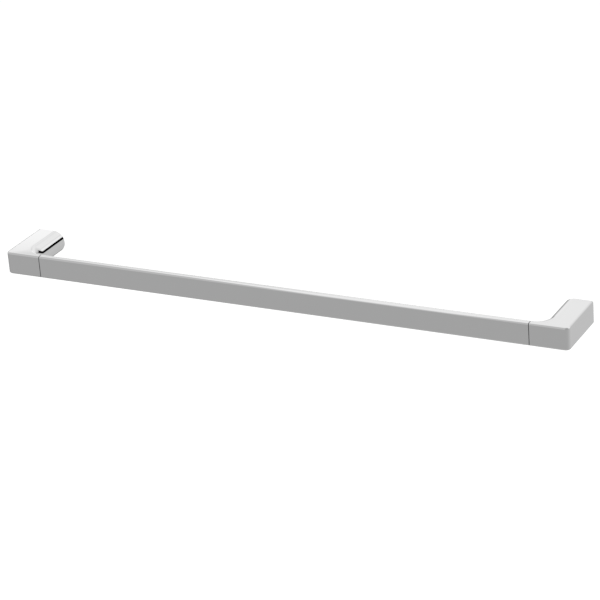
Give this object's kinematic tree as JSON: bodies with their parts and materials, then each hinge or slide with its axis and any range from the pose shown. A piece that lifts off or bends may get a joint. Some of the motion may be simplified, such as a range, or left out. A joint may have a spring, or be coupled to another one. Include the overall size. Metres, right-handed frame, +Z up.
{
  "type": "towel bar",
  "caption": "Towel bar: a flat chromed rail whose ends turn back to the wall in round-backed arms that slip over hidden wall plates.",
  "frame": {"origin": "on the wall plane, midway between the posts, at half the bar's height", "axes": "+X along the rail to the right as seen from the room, +Y out of the bar's back into the wall, +Z up"},
  "size_m": [0.6, 0.064, 0.023],
  "materials": {
    "polished_chrome": "polished chrome plating",
    "cast_zinc": "dull, as cast",
    "stainless_steel": "satin"
  },
  "bodies": {
    "root": {"towel_rail": "polished_chrome", "left_post": "polished_chrome", "left_rail_screw": "stainless_steel", "left_wall_plate": "cast_zinc", "left_grub_screw": "stainless_steel", "right_post": "polished_chrome", "right_rail_screw": "stainless_steel", "right_wall_plate": "cast_zinc", "right_grub_screw": "stainless_steel"}
  },
  "joints": []
}
